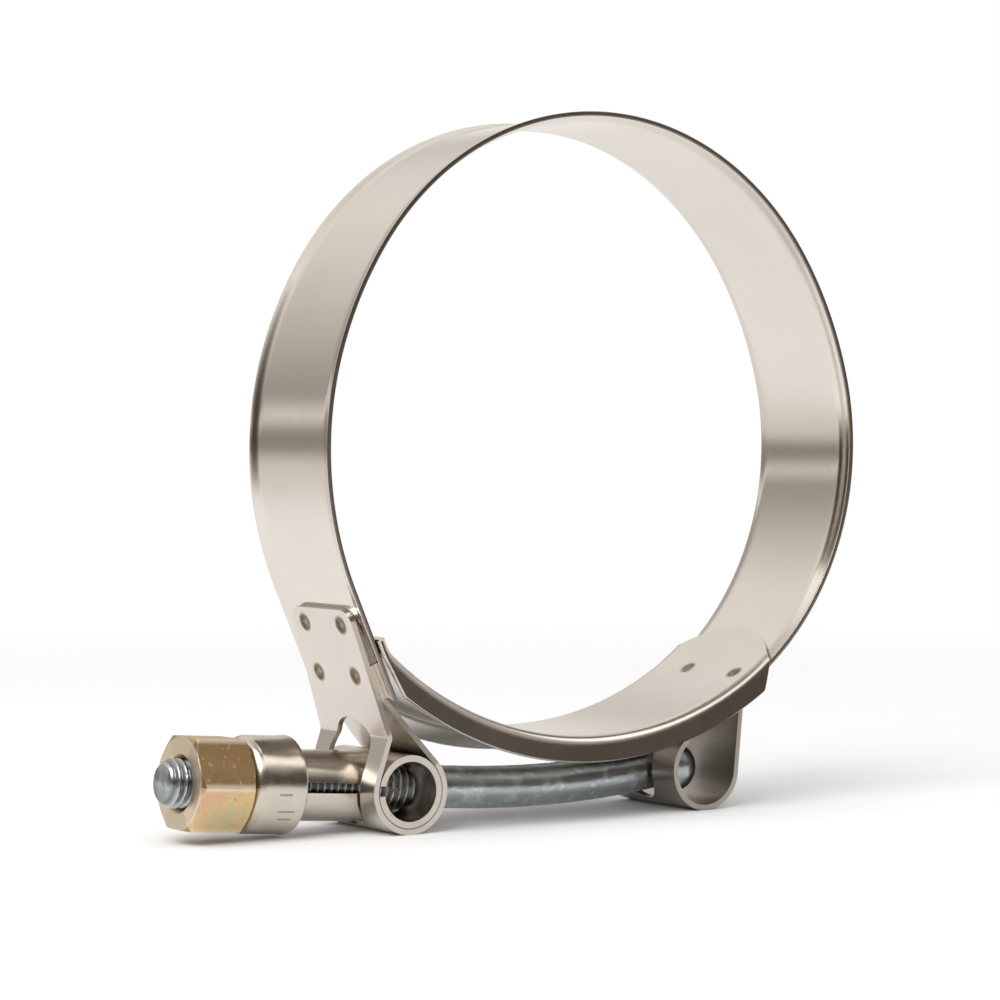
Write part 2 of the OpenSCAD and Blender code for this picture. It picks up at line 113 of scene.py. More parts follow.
def gridMesh(name, points, attrs=None, **how):
    return meshObject(name, [points], gridFaces(points, **how), attrs)


def sharpEdges(obj, deg):
    # keeps smooth shading on curves and a crisp line where two faces meet at more than the angle
    obj.data.set_sharp_from_angle(angle=math.radians(deg))


def smoothStep(x):
    x = np.clip(x, 0, 1)
    return x * x * (3 - 2 * x)


# sizes of the ring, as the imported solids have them, in mm and degrees
ring = dict(hoseR=38.7, topHalf=56, rightSideR=48, rightSideEnd=13.5, rightBendR=36, rightBendEnd=-59.2,
            rightTailEnd=-63.4, leftSideR=47, leftSideEnd=162.5, leftBendR=41.7, leftBendEnd=203.5,
            tailLen=14.5, seat=0.05)
bandSize = dict(width=19.0, thick=0.6, rollWide=1.8, rollHigh=0.5, across=26,
                rim=0.12, rimStep=0.03)
bridgeSize = dict(radius=46.0, thick=0.7, flange=3.4, bendR=1.2, half=10.45, creaseR=4.0, leadIn=1.1, lip=0.6,
                  flangeEnd=-51.0, tongue=4.4, slantRun=3.4, splay=80.0, rim=0.10, leftPart=-15, across=61,
                  welds=((-4.4, 2.8), (-4.4, -7.2)), weldWide=0.605, weldDeep=0.2)

r = ring
rightSideC = (r["hoseR"] - r["rightSideR"]) * heading(90 - r["topHalf"])
rightBendC = rightSideC + (r["rightSideR"] - r["rightBendR"]) * heading(r["rightSideEnd"])
leftSideC = (r["hoseR"] - r["leftSideR"]) * heading(90 + r["topHalf"])
leftBendC = leftSideC + (r["leftSideR"] - r["leftBendR"]) * heading(r["leftSideEnd"])
tailOut, tailAlong = heading(r["leftBendEnd"]), heading(r["leftBendEnd"] + 90)
tailStart = leftBendC + r["leftBendR"] * tailOut
bridgeBandR = bridgeSize["radius"] + bridgeSize["thick"] + r["seat"]
bridgeC = rightBendC + (r["rightBendR"] - bridgeBandR) * heading(r["rightBendEnd"])


def makeBand():
    # the strip section is carried along the chain of arcs: flat in the middle, each edge rolled outward
    # by a smooth step of the distance from the edge, with a rounded cut edge
    b = bandSize
    path = Path()
    path.arc(bridgeC, bridgeBandR, r["rightTailEnd"], r["rightBendEnd"])
    path.arc(rightBendC, r["rightBendR"], r["rightBendEnd"], r["rightSideEnd"])
    path.arc(rightSideC, r["rightSideR"], r["rightSideEnd"], 90 - r["topHalf"])
    path.arc((0, 0), r["hoseR"], 90 - r["topHalf"], 90 + r["topHalf"])
    path.arc(leftSideC, r["leftSideR"], 90 + r["topHalf"], r["leftSideEnd"])
    path.arc(leftBendC, r["leftBendR"], r["leftSideEnd"], r["leftBendEnd"])
    path.line(tailStart, tailAlong, r["tailLen"], tailOut, last=True)
    pos, out, s = path.done()
    half, t = b["width"] / 2, b["thick"]
    flat = half - b["rollWide"]
    rim, tiny = b["rim"], b["rimStep"]
    yIn = np.concatenate([np.linspace(-half + rim, -flat, 9), np.linspace(-flat, flat, b["across"])[1:-1],
                          np.linspace(flat, half - rim, 9)])
    share = np.clip((np.abs(yIn) - flat) / b["rollWide"], 0, 1)
    edge = b["rollHigh"]
    rise = edge * (smoothStep(share) + share) / 2
    rimY = np.array([half - tiny, half, half, half - tiny])
    rimN = edge + np.array([tiny, rim, t - rim, t - tiny])
    yLoop = np.concatenate([yIn, rimY, yIn[::-1], -rimY])
    nLoop = np.concatenate([rise, rimN, rise[::-1] + t, rimN[::-1]])
    flatXZ = pos[:, None, :] + nLoop[None, :, None] * out[:, None, :]
    pts = np.stack([flatXZ[..., 0], np.broadcast_to(yLoop, flatXZ.shape[:2]), flatXZ[..., 1]], -1)
    ones = np.ones_like(flatXZ[..., 0])
    attrs = {"along": s[:, None] * ones, "across": yLoop[None, :] * ones}
    obj = gridMesh("bandStrip", pts, attrs=attrs, flip=True)
    sharpEdges(obj, 40)
    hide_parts("band")
    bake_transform(obj)
    return obj


def makeBridge():
    # a channel section is carried along lead-in, crease, main curve and tongue: plate, bend and flange are one
    # developed width d, which gets shorter where the flange is cut and follows a circle round the tongue
    b = bridgeSize
    t = b["thick"]
    leadOff = float((tailStart - bridgeC) @ tailOut) - t - r["seat"]
    creaseAt = r["leftBendEnd"] + math.degrees(math.acos((leadOff - b["creaseR"]) / (b["radius"] - b["creaseR"])))
    creaseC = bridgeC + (b["radius"] - b["creaseR"]) * heading(creaseAt)
    leadStart = creaseC + b["creaseR"] * tailOut
    tongueR = r["rightBendR"] - r["seat"] - t
    tongueEnd = b["flangeEnd"] + math.degrees(b["tongue"] / tongueR)
    path = Path()
    path.line(leadStart - b["leadIn"] * tailAlong, tailAlong, b["leadIn"], tailOut)
    path.arc(creaseC, b["creaseR"], r["leftBendEnd"], creaseAt)
    path.arc(bridgeC, b["radius"], creaseAt, 360 + r["rightBendEnd"])
    path.arc(rightBendC, tongueR, r["rightBendEnd"], tongueEnd - 0.02)
    pos, out, s = path.done()
    w0 = b["half"] - b["bendR"]
    rm = b["bendR"] - t / 2
    bendTurn = math.radians(b["splay"])
    bendLen = rm * bendTurn
    sFlange = s[-1] - b["tongue"]
    # near the left end the flange is cut to follow the inside of the band
    room = np.where(pos[:, 0] < b["leftPart"], (tailStart - pos) @ tailOut, b["flange"])
    depth = np.clip(room + b["lip"], t + r["seat"] + b["lip"], b["flange"])
    half = w0 + bendLen * np.minimum(depth / b["bendR"], 1) + np.clip(depth - b["bendR"], 0, None)
    cutDown = np.clip((s - (sFlange - b["slantRun"])) / b["slantRun"], 0, 1)
    half = half + (w0 + 0.5 * bendLen - half) * cutDown
    tongueRound = (w0 ** 2 + b["tongue"] ** 2) / (2 * b["tongue"])
    past = np.clip(s - sFlange, 0, b["tongue"])
    tip = np.sqrt(np.clip(tongueRound ** 2 - (tongueRound - b["tongue"] + past) ** 2, 0.02, None))
    half = np.where(s > sFlange, np.minimum(half, tip + 0.5 * bendLen * (1 - past / b["tongue"])), half)
    even = np.linspace(-1, 1, b["across"])
    unit = np.sin(even * math.pi / 2) * 0.35 + even * 0.65      # points lie closer toward the bends
    d = half[:, None] * unit[None, :]
    side, dist = np.sign(d), np.abs(d)
    phi = np.clip((dist - w0) / rm, 0, bendTurn)
    past = np.clip(dist - w0 - bendLen, 0, None)
    y = side * (np.minimum(dist, w0) + rm * np.sin(phi) + past * math.cos(bendTurn))
    n = rm * (1 - np.cos(phi)) + past * math.sin(bendTurn)
    ny, nn = -side * np.sin(phi), np.cos(phi)
    dent = np.zeros_like(d)
    for along, across in b["welds"]:
        gap2 = (s[:, None] - sFlange - along) ** 2 + (d - across) ** 2
        dent += b["weldDeep"] * np.exp(-gap2 / b["weldWide"] ** 2)
    inner = [y - ny * (t / 2 - dent), n - nn * (t / 2 - dent)]
    outer = [y + ny * t / 2, n + nn * t / 2]

    def rimLine(col, face):
        # the rim steps out by a little at both ends of the developed width, so the cut edge is rounded
        c = slice(0, 1) if col == 0 else slice(-1, None)
        return [y[:, c] + np.cos(phi[:, c]) * side[:, c] * b["rim"] + face * ny[:, c] * t / 4,
                n[:, c] + np.sin(phi[:, c]) * b["rim"] + face * nn[:, c] * t / 4]

    parts = [inner, rimLine(-1, -1), rimLine(-1, 1), [a[:, ::-1] for a in outer], rimLine(0, 1), rimLine(0, -1)]
    yLoop = np.concatenate([part[0] for part in parts], 1)
    nLoop = np.concatenate([part[1] for part in parts], 1) + t / 2
    dLoop = np.concatenate([d, d[:, -1:], d[:, -1:], d[:, ::-1], d[:, :1], d[:, :1]], 1)
    flatXZ = pos[:, None, :] + nLoop[..., None] * out[:, None, :]
    pts = np.stack([flatXZ[..., 0], yLoop, flatXZ[..., 1]], -1)
    attrs = {"along": s[:, None] * np.ones_like(yLoop), "across": dLoop}
    obj = gridMesh("bridgeChannel", pts, attrs=attrs, flip=True)
    sharpEdges(obj, 40)
    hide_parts("bridge")
    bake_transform(obj)
    return obj


boltSize = dict(threadD=6.0, rootD=4.92, pitch=1.0, neckD=5.1, shankD=5.4, threadRun=6.6, neckLen=1.9,
                straight=13.2, tilt=4.2, headD=6.0, headLen=10.6, dome=1.6, end=30.1, endChamfer=0.8, around=72,
                headAlong=60.0)
loopC = (-28.2129, -44.8088)       # axis of the cross tube, where the bolt passes
headC = (15.8847, -44.8088)        # axis of the cross head


def makeBolt():
    # a round tube is carried along a straight and an arc; its radius is the shank's, less a groove that climbs
    # round the threaded end: depth follows a trapezoid wave of length / pitch minus turn
    b = boltSize
    down = heading(-b["tilt"])
    start = np.asarray(loopC) + b["straight"] * down
    chord = np.asarray(headC) - start
    half = math.atan2(chord[1], chord[0]) + math.radians(b["tilt"])
    bendR = np.linalg.norm(chord) / (2 * math.sin(half))
    sThread = np.arange(-b["end"], b["threadRun"], 0.085)
    sPlain = np.linspace(b["threadRun"], b["straight"], 24, endpoint=False)
    sBend = b["straight"] + np.linspace(0, 2 * half * bendR, 60)
    s = np.concatenate([sThread, sPlain, sBend])
    a = np.clip((s - b["straight"]) / bendR, 0, None)
    run = np.minimum(s, b["straight"])
    local = np.stack([run + bendR * np.sin(a), bendR * (1 - np.cos(a))], 1)
    c, sn = math.cos(math.radians(b["tilt"])), math.sin(math.radians(b["tilt"]))
    pos = np.asarray(loopC) + np.stack([local[:, 0] * c + local[:, 1] * sn,
                                        -local[:, 0] * sn + local[:, 1] * c], 1)
    tang = a - math.radians(b["tilt"])
    out = np.stack([-np.sin(tang), np.cos(tang)], 1)
    turn = np.linspace(0, 2 * math.pi, b["around"], endpoint=False)
    # thread wave between 0 on the crest and 1 in the root, flats on both
    phase = (s[:, None] / b["pitch"] - turn[None, :] / (2 * math.pi)) % 1.0
    wave = np.clip((0.5 - np.abs(phase - 0.5) - 0.07) / 0.36, 0, 1)
    fade = smoothStep((b["threadRun"] + 0.3 - s) / 1.2)[:, None]
    major, minor = b["threadD"] / 2, b["rootD"] / 2
    radThread = major - (major - minor) * wave * fade
    past = s - b["threadRun"]
    neck = smoothStep((past + 0.25) / 0.5) * (1 - smoothStep((past - b["neckLen"]) / 0.7))
    radPlain = b["shankD"] / 2 - (b["shankD"] - b["neckD"]) / 2 * neck
    inThread = (s < b["threadRun"])[:, None]
    rad = np.where(inThread, radThread, radPlain[:, None] * np.ones_like(radThread))
    rad = np.minimum(rad, (b["threadD"] / 2 - b["endChamfer"] + np.clip(s + b["end"], 0, 9) + 0.02)[:, None])
    across = rad * np.sin(turn)[None, :]
    up = rad * np.cos(turn)[None, :]
    flatXZ = pos[:, None, :] + up[..., None] * out[:, None, :]
    pts = np.stack([flatXZ[..., 0], across, flatXZ[..., 1]], -1)
    # cross head: a half profile turned about an axis across the band
    dr, hl, hr = b["dome"], b["headLen"] / 2, b["headD"] / 2
    domeR = (hr ** 2 + dr ** 2) / (2 * dr)
    capA = np.linspace(0.02, math.asin(hr / domeR), 14)
    yCap = hl - domeR + domeR * np.cos(capA)
    rCap = domeR * np.sin(capA)
    yProf = np.concatenate([yCap, np.linspace(yCap[-1], -yCap[-1], 12)[1:-1], -yCap[::-1]])
    rProf = np.concatenate([rCap, np.full(10, hr), rCap[::-1]])
    headPts = np.stack([headC[0] + rProf[:, None] * np.cos(turn), yProf[:, None] + 0 * turn,
                        headC[1] + rProf[:, None] * np.sin(turn)], -1)
    headCount = headPts.shape[0] * headPts.shape[1]
    alongAll = np.concatenate([np.repeat(s, b["around"]), np.full(headCount, b["headAlong"])])
    rootShadeAll = np.concatenate([np.where(inThread, wave * fade, 0.0).ravel(), np.zeros(headCount)])
    faces = gridFaces(pts) + gridFaces(headPts, base=rad.size)
    obj = meshObject("crossBolt", [pts, headPts], faces, {"along": alongAll, "groove": rootShadeAll})
    sharpEdges(obj, 50)
    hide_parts("t_bolt")
    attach(obj, "ring")
    return obj


stackSize = dict(collarBack=20.25, collarLen=6.9, collarR=6.1, collarRound=1.3, collarFloor=1.0, collarWall=1.2,
                 hole=3.3, nutFace=20.3, nutLen=7.6, nutFlats=11.1, bore=3.05, boreBevel=0.55, around=360)


def turned(name, along, radius, attrs=None):
    # profile points (distance along the bolt, radius) turned about the bolt's axis; radius may vary with the turn
    count = stackSize["around"]
    turn = np.linspace(-math.pi, math.pi, count, endpoint=False)
    rad = np.broadcast_to(np.asarray(radius).reshape(len(along), -1), (len(along), count))
    s = np.asarray(along)[:, None]
    tilt = math.radians(boltSize["tilt"])
    up = rad * np.cos(turn)
    x = loopC[0] + s * math.cos(tilt) + up * math.sin(tilt)
    z = loopC[1] - s * math.sin(tilt) + up * math.cos(tilt)
    pts = np.stack([x, rad * np.sin(turn), z], -1)
    layers = {"along": s + 0 * rad, "turn": np.degrees(turn)[None, :] + 0 * rad, "radial": rad}
    layers.update(attrs or {})
    return gridMesh(name, pts, attrs=layers, closed=True)


def arcPoints(cx, cy, rad, start, end, count):
    ang = np.radians(np.linspace(start, end, count))
    return np.stack([cx + rad * np.cos(ang), cy + rad * np.sin(ang)], 1)


def makeCollar():
    # drawn cup: round shoulder at the nut, straight wall that flares a touch to a rounded rim, hollow behind
    k = stackSize
    s0, s1 = -k["collarBack"], -k["collarBack"] + k["collarLen"]
    body, rim, inner = k["collarR"] - 0.1, 0.3, k["collarR"] - k["collarWall"]
    prof = np.concatenate([
        [(s0, k["hole"]), (s0, k["hole"] + 0.6), (s0, 4.2)],
        arcPoints(s0 + k["collarRound"], body - k["collarRound"], k["collarRound"], 180, 90, 14),
        [(s0 + 2.5, body), (s1 - 2.4, body), (s1 - 1.2, body + 0.02), (s1 - 0.8, body + 0.08)],
        arcPoints(s1 - rim, k["collarR"] - rim, rim, 90, 0, 8),
        [(s1, inner + 0.3), (s1 - 0.25, inner + 0.05), (s1 - 0.6, inner), (s0 + k["collarFloor"] + 0.3, inner),
         (s0 + k["collarFloor"], inner - 0.3), (s0 + k["collarFloor"], k["hole"] + 0.1), (s0 + 0.5, k["hole"])]])
    obj = turned("drawnCollar", prof[:, 0], prof[:, 1])
    sharpEdges(obj, 40)
    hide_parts("collar")
    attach(obj, "left_end")
    return obj


def makeNut():
    # hexagon and bevel cone meet by a soft minimum of their radii, so the bevel leaves curved lines on the flats
    k = stackSize
    flat = k["nutFlats"] / 2
    s0, s1 = -k["nutFace"] - k["nutLen"], -k["nutFace"]
    turn = np.linspace(-math.pi, math.pi, k["around"], endpoint=False)
    sides = np.radians(np.arange(6) * 60 + 30 - 90)
    hexR = 1 / np.max(np.cos(turn[:, None] - sides[None, :]) / flat, axis=1)
    soft = np.clip(np.cos(turn[:, None] - sides[None, :]) / flat, 0, None) ** 90
    hexR = np.minimum(hexR, np.sum(soft, axis=1) ** (-1 / 90) * 1.0077)      # corners a touch rounded
    slope = 1 / math.tan(math.radians(30))
    z = np.concatenate([[0.0, 0.02, 0.06, 0.12], np.linspace(0.18, 0.75, 12), np.linspace(0.9, 2.4, 6)])
    zz = np.concatenate([z, [k["nutLen"] / 2], k["nutLen"] - z[::-1]])
    cone = flat - 0.12 + np.minimum(zz, k["nutLen"] - zz) * slope
    rad = -np.log(np.exp(-30 * hexR[None, :]) + np.exp(-30 * np.minimum(cone, 9)[:, None])) / 30
    ones = np.ones_like(hexR)[None, :]
    faceIn = np.array([k["bore"] + k["boreBevel"] + 0.02, 4.3, 5.0, 5.3])[:, None] * ones
    boreA = np.array([k["bore"] + 0.02, k["bore"] + 0.3, k["bore"] + k["boreBevel"]])[:, None] * ones
    along = np.concatenate([[s0 + k["boreBevel"], s0 + 0.27, s0 + 0.01], np.full(4, s0), s0 + zz, np.full(4, s1),
                            [s1 - 0.01, s1 - 0.27, s1 - k["boreBevel"]]])
    radius = np.concatenate([boreA, faceIn, rad, faceIn[::-1], boreA[::-1]])
    # brown share of each flat, partly the plating's own colour and partly painted shade: the upper front one is
    # browned, the lower front one golden
    flatBrownAndShade = np.array([0.92, 0.45, 0.2, 0.35, 0.6, 0.08])
    side = np.floor(((np.degrees(turn) + 90) % 360) / 60).astype(int) % 6
    tone = flatBrownAndShade[side][None, :] * np.ones_like(radius)
    obj = turned("hexNut", along, radius, {"tone": tone})
    sharpEdges(obj, 24)
    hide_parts("nut")
    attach(obj, "nut")
    return obj


tipSize = dict(topGap=2.5, wedge=5.5, half=6.75, reach=7.85, start=0.25, clear=0.02)
legApex = tailStart + tipSize["topGap"] * tailAlong + bandSize["thick"] * tailOut     # where leg and band meet


def makeLegTip():
    # thinned tip of the left strap's inner leg: a wedge that fills the angle between the outer leg and the band,
    # as wide as the opening at each distance from the point where both meet
    k = tipSize
    run = np.linspace(k["start"], k["reach"], 24)
    legAlong = heading(r["leftBendEnd"] + 90 - k["wedge"])
    bandSide = legApex + (run * math.cos(math.radians(k["wedge"])))[:, None] * tailAlong + k["clear"] * tailOut
    legSide = legApex + run[:, None] * legAlong - k["clear"] * heading(r["leftBendEnd"] - k["wedge"])
    y = np.linspace(-k["half"], k["half"], 15)
    loopXZ = np.concatenate([np.repeat(bandSide[:, None], 15, 1), np.repeat(legSide[:, None], 15, 1)], 1)
    loopY = np.broadcast_to(np.concatenate([y, y[::-1]]), loopXZ.shape[:2])
    obj = gridMesh("innerLegTip", np.stack([loopXZ[..., 0], loopY, loopXZ[..., 1]], -1), flip=True)
    sharpEdges(obj, 40)
    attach(obj, "left_end")
    return obj


band = makeBand()
bridge = makeBridge()
legTip = makeLegTip()
bolt = makeBolt()
collar = makeCollar()
nut = makeNut()
print("pieces made")


class Sock:
    # wraps a shader socket, so that sums and products on values add their Math nodes
    tree = None

    def __init__(self, socket):
        self.socket = socket

    @classmethod
    def node(cls, kind, settings=None, **inputs):
        made = cls.tree.nodes.new(kind)
        for key, value in (settings or {}).items():
            if key == "stops":
                ramp = made.color_ramp
                while len(ramp.elements) < len(value):
                    ramp.elements.new(0.5)
                for element, (place, colour) in zip(ramp.elements, value):
                    element.position, element.color = place, (*colour, 1) if len(colour) == 3 else colour
            else:
                setattr(made, key, value)
        for key, value in inputs.items():
            numbered = key[0] == "i" and key[1:].isdigit()      # i0, i1 ... count the sockets, other keys name them
            slot = made.inputs[int(key[1:]) if numbered else key.replace("_", " ")]
            if isinstance(value, Sock):
                cls.tree.links.new(value.socket, slot)
            else:
                slot.default_value = value
        return made

    def math(self, op, other=None, swap=False):
        args = [self] if other is None else ([other, self] if swap else [self, other])
        made = Sock.node("ShaderNodeMath", {"operation": op}, **{f"i{k}": v for k, v in enumerate(args)})
        return Sock(made.outputs[0])

    def __add__(self, o): return self.math("ADD", o)
    def __radd__(self, o): return self.math("ADD", o)
    def __sub__(self, o): return self.math("SUBTRACT", o)
    def __rsub__(self, o): return self.math("SUBTRACT", o, True)
    def __mul__(self, o): return self.math("MULTIPLY", o)
    def __rmul__(self, o): return self.math("MULTIPLY", o)
    def __pow__(self, o): return self.math("POWER", o)

    def clamp(self):
        made = Sock.node("ShaderNodeMath", {"operation": "ADD", "use_clamp": True}, i0=self, i1=0.0)
        return Sock(made.outputs[0])

    def step(self, low, high):
        # smooth step from 0 at low to 1 at high
        made = Sock.node("ShaderNodeMapRange", {"interpolation_type": "SMOOTHSTEP"}, Value=self,
                         From_Min=low, From_Max=high)
        return Sock(made.outputs[0])


def attr(name):
    return Sock(Sock.node("ShaderNodeAttribute", {"attribute_name": name}).outputs["Fac"])


def objectPoint():
    return Sock(Sock.node("ShaderNodeTexCoord").outputs["Object"])


def split(vector):
    made = Sock.node("ShaderNodeSeparateXYZ", None, Vector=vector)
    return [Sock(o) for o in made.outputs]


def join(x, y, z=0.0):
    return Sock(Sock.node("ShaderNodeCombineXYZ", None, X=x, Y=y, Z=z).outputs[0])


def noise(vector, scale, detail=3.0, rough=0.55):
    made = Sock.node("ShaderNodeTexNoise", None, Vector=vector, Scale=scale, Detail=detail, Roughness=rough)
    return Sock(made.outputs["Fac"])


def mixColour(factor, a, b):
    made = Sock.node("ShaderNodeMix", {"data_type": "RGBA"})
    for place, value in ((0, factor), (6, a), (7, b)):
        if isinstance(value, Sock):
            Sock.tree.links.new(value.socket, made.inputs[place])
        else:
            made.inputs[place].default_value = value if isinstance(value, (int, float)) else (*value, 1)
    return Sock(made.outputs[2])


def near(point, centre, radius, soft):
    # 1 inside a ball about a point of the frame, falling to 0 over the soft width, lengths in metres
    gap = Sock(Sock.node("ShaderNodeVectorMath", {"operation": "DISTANCE"}, i0=point, i1=centre).outputs["Value"])
    return 1.0 - gap.step(radius, radius + soft)


def startMaterial(name):
    mat = bpy.data.materials.new(name)
    mat.use_nodes = True
    Sock.tree = mat.node_tree
    return mat, mat.node_tree.nodes["Principled BSDF"]


def feed(shader, **inputs):
    for key, value in inputs.items():
        slot = shader.inputs[key.replace("_", " ")]
        if isinstance(value, Sock):
            Sock.tree.links.new(value.socket, slot)
        else:
            slot.default_value = value


def bump(height, strength=0.1, distance=0.0002):
    made = Sock.node("ShaderNodeBump", None, Height=height, Strength=strength, Distance=distance)
    return Sock(made.outputs[0])


def rolledSteel():
    # bright strip: fine lines along the rolling direction, soft clouding, grey wear, and painted shade along the cut
    # edge
    mat, bsdf = startMaterial("rolledSteel")
    along, across = attr("along"), attr("across")
    lines = noise(join(along * 0.05, across * 9.0), 6.0, 3.0)
    clouds = noise(objectPoint(), 60.0, 3.0)
    scuff = noise(join(along * 0.7, across * 1.2), 2.2, 5.0, 0.65)
    hair = noise(join(along * 0.9, across * 14.0 + along * 0.6), 1.6, 2.0, 0.5)
    tint = mixColour(clouds, (0.67, 0.615, 0.555), (0.765, 0.705, 0.64))
    tint = mixColour(scuff.step(0.60, 0.78) * 0.30, tint, (0.50, 0.475, 0.44))
    tint = mixColour(hair.step(0.70, 0.76) * 0.25, tint, (0.46, 0.44, 0.41))
    # painted shade: the cut edge is darkened in its colour, and made rougher
    cutEdgeShade = across.math("ABSOLUTE").step(9.38, 9.49)
    tint = mixColour(cutEdgeShade * 0.75, tint, (0.16, 0.135, 0.11))
    rough = 0.085 + lines * 0.06 + scuff.step(0.5, 0.8) * 0.10 + cutEdgeShade * 0.2
    feed(bsdf, Base_Color=tint, Metallic=1.0, Roughness=rough,
         Normal=bump(lines * 0.7 + scuff * 0.3, 0.06, 0.00005))
    return mat


def strapSteel(name, welds, tintAmount, pale, deep):
    # the same steel on a folded strap, with heat-tinted rings round its spot welds; with darker pale and deep
    # colours it makes shaded copies of the steel, painted shade
    mat, bsdf = startMaterial(name)
    p = objectPoint()
    x, y, z = split(p)
    lines = noise(join(x * 900.0, y * 40.0, z * 900.0), 1.0, 3.0)
    clouds = noise(p, 140.0, 4.0)
    tint = mixColour(clouds, deep, pale)
    burn, core = 0.0, 0.0
    for centre in welds:
        burn = near(p, centre, 0.00085, 0.0006) + burn
        core = near(p, centre, 0.00015, 0.0004) + core
    if welds:
        ragged = (burn * (0.45 + noise(p, 1100.0, 4.0) * 1.1)).clamp()
        tint = mixColour(ragged * tintAmount, tint, (0.13, 0.075, 0.03))
        tint = mixColour(core.clamp() * 0.45, tint, (0.55, 0.47, 0.36))
    rough = 0.22 + lines * 0.08 + clouds * 0.06
    feed(bsdf, Base_Color=tint, Metallic=1.0, Roughness=rough,
         Normal=bump(lines * 0.6 + clouds * 0.4, 0.12, 0.00006))
    return mat


def nickelSteel(name, marks=()):
    # rolled tube and drawn collar: warm, with drawing lines round the bolt, mottling and short dark marks
    mat, bsdf = startMaterial(name)
    p = objectPoint()
    x, y, z = split(p)
    rings = noise(join(x * 1600.0, y * 30.0, z * 30.0), 1.0, 2.0)
    clouds = noise(p, 220.0, 4.0)
    pits = noise(p, 1300.0, 4.0, 0.6)
    tint = mixColour(clouds, (0.56, 0.50, 0.43), (0.71, 0.65, 0.575))
    tint = mixColour(pits.step(0.62, 0.74) * 0.45, tint, (0.25, 0.20, 0.15))
    darkMarks = 0.0
    for turn, low, high in marks:
        far = (attr("turn") - turn).math("ABSOLUTE")
        along = attr("along")
        within = along.step(low, low + 0.3) * (1.0 - along.step(high, high + 0.3))
        darkMarks = (1.0 - far.step(0.7, 1.8)) * within + darkMarks
    if marks:
        tint = mixColour(darkMarks * 0.7, tint, (0.20, 0.16, 0.12))
    rough = 0.17 + rings * 0.07 + clouds * 0.06
    feed(bsdf, Base_Color=tint, Metallic=1.0, Roughness=rough,
         Normal=bump(rings * 0.6 + pits * 0.4, 0.10, 0.00006))
    return mat


def zincBolt():
    # blue-grey plating with mottled grain on the shank, and painted shade in the thread roots
    mat, bsdf = startMaterial("zincBolt")
    p = objectPoint()
    groove = attr("groove")
    grain = noise(p, 620.0, 5.0, 0.6)
    blotch = noise(p, 170.0, 4.0)
    tint = mixColour(blotch, (0.33, 0.358, 0.368), (0.60, 0.642, 0.66))
    tint = mixColour(grain.step(0.50, 0.68) * 0.6, tint, (0.84, 0.86, 0.87))
    # painted shade: the thread roots are darkened by their depth
    tint = mixColour(groove * 0.75, tint, (0.12, 0.115, 0.11))
    rough = 0.22 + blotch * 0.14
    feed(bsdf, Base_Color=tint, Metallic=1.0, Roughness=rough, Normal=bump(grain, 0.5, 0.0002))
    return mat


def goldNut():
    # gold passivated nut: one flat browned and speckled, the next golden with pink and green shimmer;
    # the brown of each flat is partly plating and partly painted shade, the corners and bevels get a painted
    # highlight, the end face is paler
    mat, bsdf = startMaterial("goldNut")
    p = objectPoint()
    tone = attr("tone")
    speck = noise(p, 1500.0, 4.0, 0.6)
    shift = noise(p, 330.0, 3.0)
    hue = noise(p, 210.0, 2.0)
    gold = mixColour(shift, (0.64, 0.43, 0.20), (0.86, 0.67, 0.40))
    gold = mixColour(hue.step(0.50, 0.64) * 0.55, gold, (0.74, 0.44, 0.38))
    gold = mixColour((1.0 - hue).step(0.52, 0.66) * 0.50, gold, (0.48, 0.58, 0.38))
    brown = mixColour(shift, (0.17, 0.105, 0.045), (0.30, 0.19, 0.09))
    brown = mixColour(speck.step(0.56, 0.68) * 0.55, brown, (0.62, 0.44, 0.24))
    # each flat browned by its share: partly the plating's colour, partly painted shade
    tint = mixColour(tone, gold, brown)
    tint = mixColour((1.0 - speck).step(0.60, 0.72) * 0.45, tint, (0.22, 0.14, 0.06))
    face = 1.0 - attr("along").step(-27.88, -27.70)
    tint = mixColour(face * 0.6, tint, (0.80, 0.72, 0.58))
    # painted highlight: pale along the hex corners and bevels
    cornerHighlight = attr("radial").step(6.05, 6.34)
    tint = mixColour(cornerHighlight * 0.55, tint, (0.86, 0.78, 0.62))
    rough = 0.24 + speck * 0.18 + tone * 0.14
    feed(bsdf, Base_Color=tint, Metallic=1.0, Roughness=rough, Normal=bump(speck, 0.22, 0.0001))
    return mat


leftLeg = dict(thick=0.7, rows=(2.0, 8.6), halfPitch=4.3)


def leftWelds():
    # weld centres on the outer face of the left strap, in metres
    turn = r["leftBendEnd"] - tipSize["wedge"]
    face = legApex + leftLeg["thick"] * heading(turn)
    spots = []
    for row in leftLeg["rows"]:
        x, z = (face + row * heading(turn + 90)) * mm
        spots += [(float(x), side * leftLeg["halfPitch"] * mm, float(z)) for side in (-1, 1)]
    return spots


def rightWelds():
    spots = []
    for along, across in bridgeSize["welds"]:
        rad = r["rightBendR"] - 0.75
        xz = rightBendC + rad * heading(bridgeSize["flangeEnd"] + math.degrees(along / rad))
        spots.append((float(xz[0] * mm), across * mm, float(xz[1] * mm)))
    return spots


